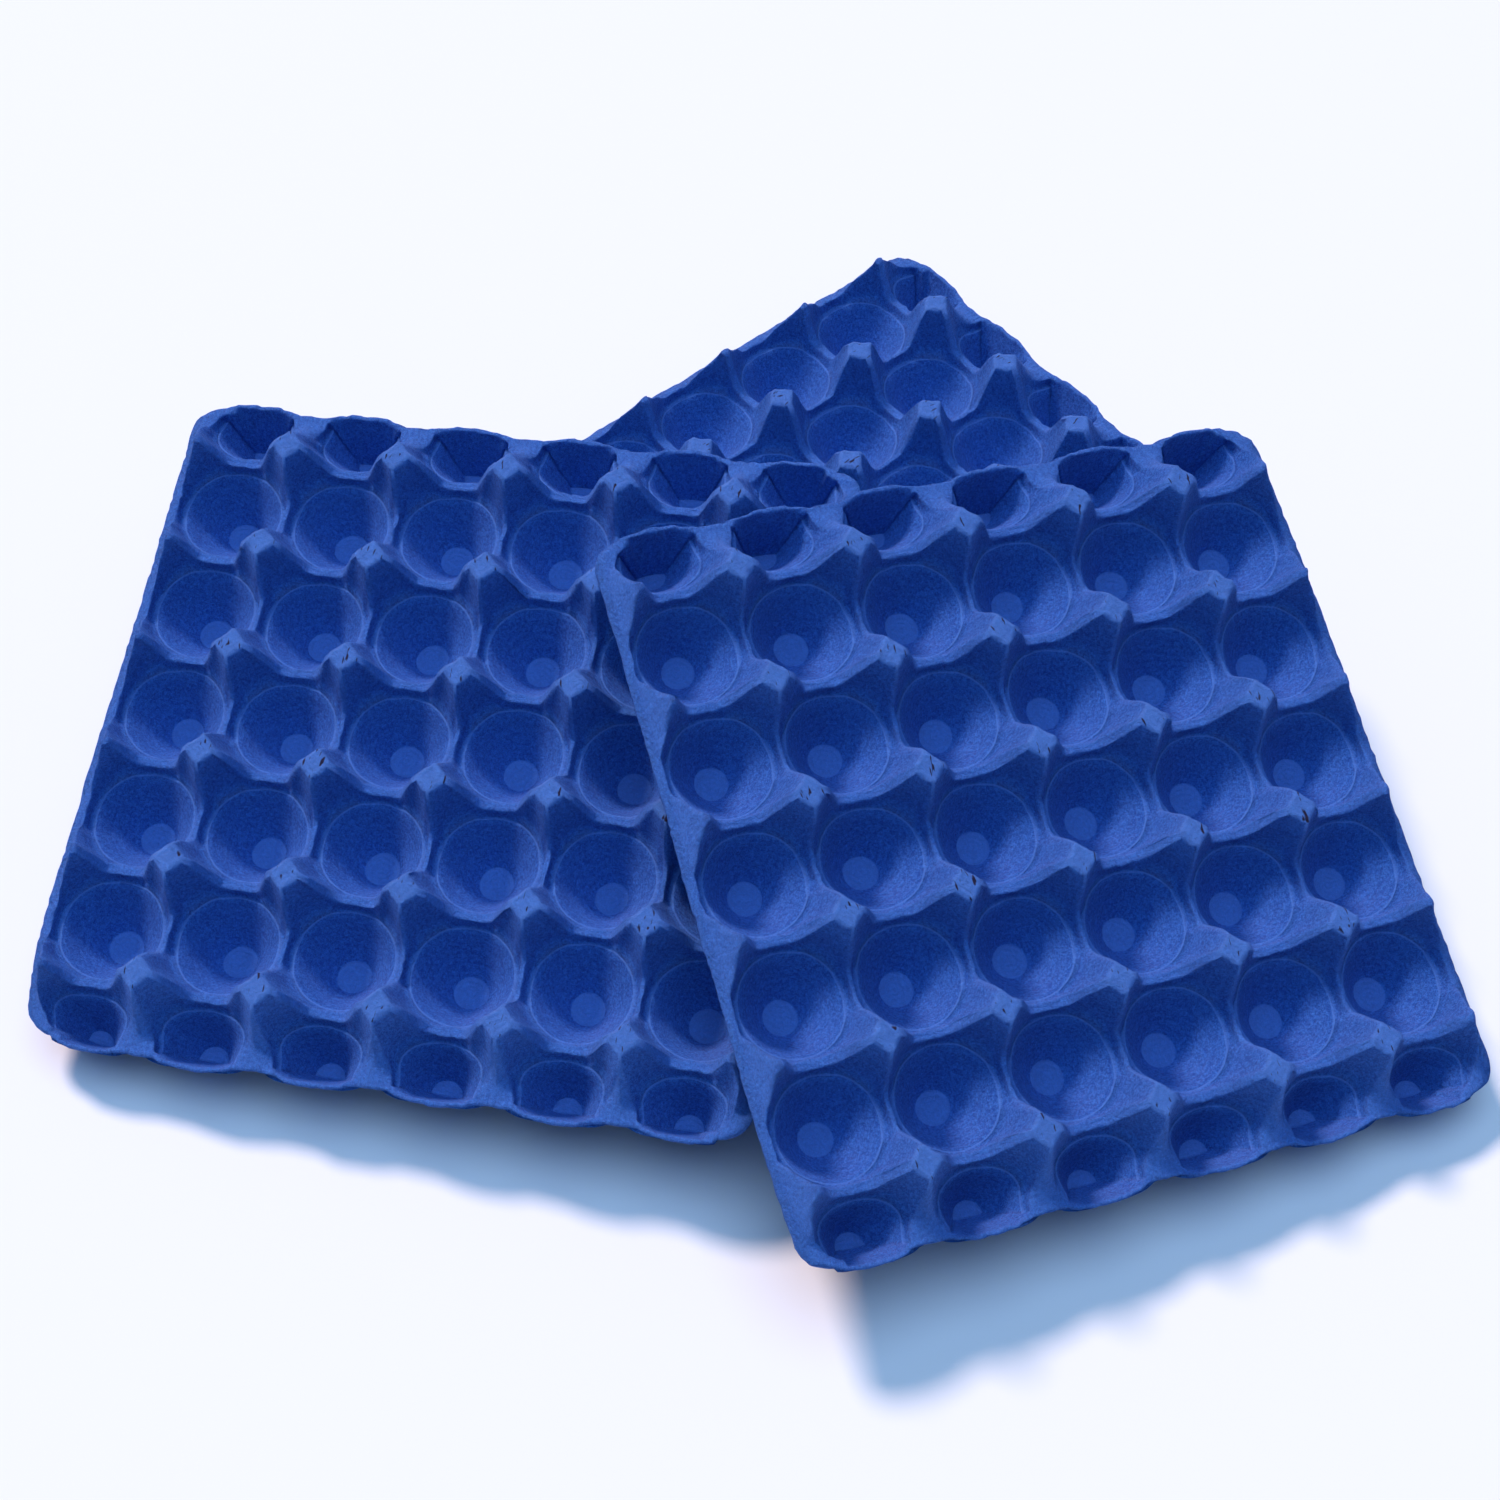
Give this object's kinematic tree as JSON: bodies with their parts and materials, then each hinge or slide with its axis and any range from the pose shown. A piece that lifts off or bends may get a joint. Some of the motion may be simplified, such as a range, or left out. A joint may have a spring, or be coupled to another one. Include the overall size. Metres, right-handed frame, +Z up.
{
  "type": "stack of pulp egg trays",
  "caption": "Loose pile of moulded pulp egg trays: a flat one below, and two that lean on it and on each other.",
  "frame": {"origin": "middle of the pile's footprint, on the surface that it lies on", "axes": "+Z up; the two leaning trays slope down towards -Y"},
  "size_m": [0.5788, 0.5426, 0.1447],
  "materials": {
    "dyed_pulp": "matte, rough moulded pulp"
  },
  "bodies": {
    "root": {"back_tray": "dyed_pulp", "left_tray": "dyed_pulp", "front_tray": "dyed_pulp"}
  },
  "joints": []
}
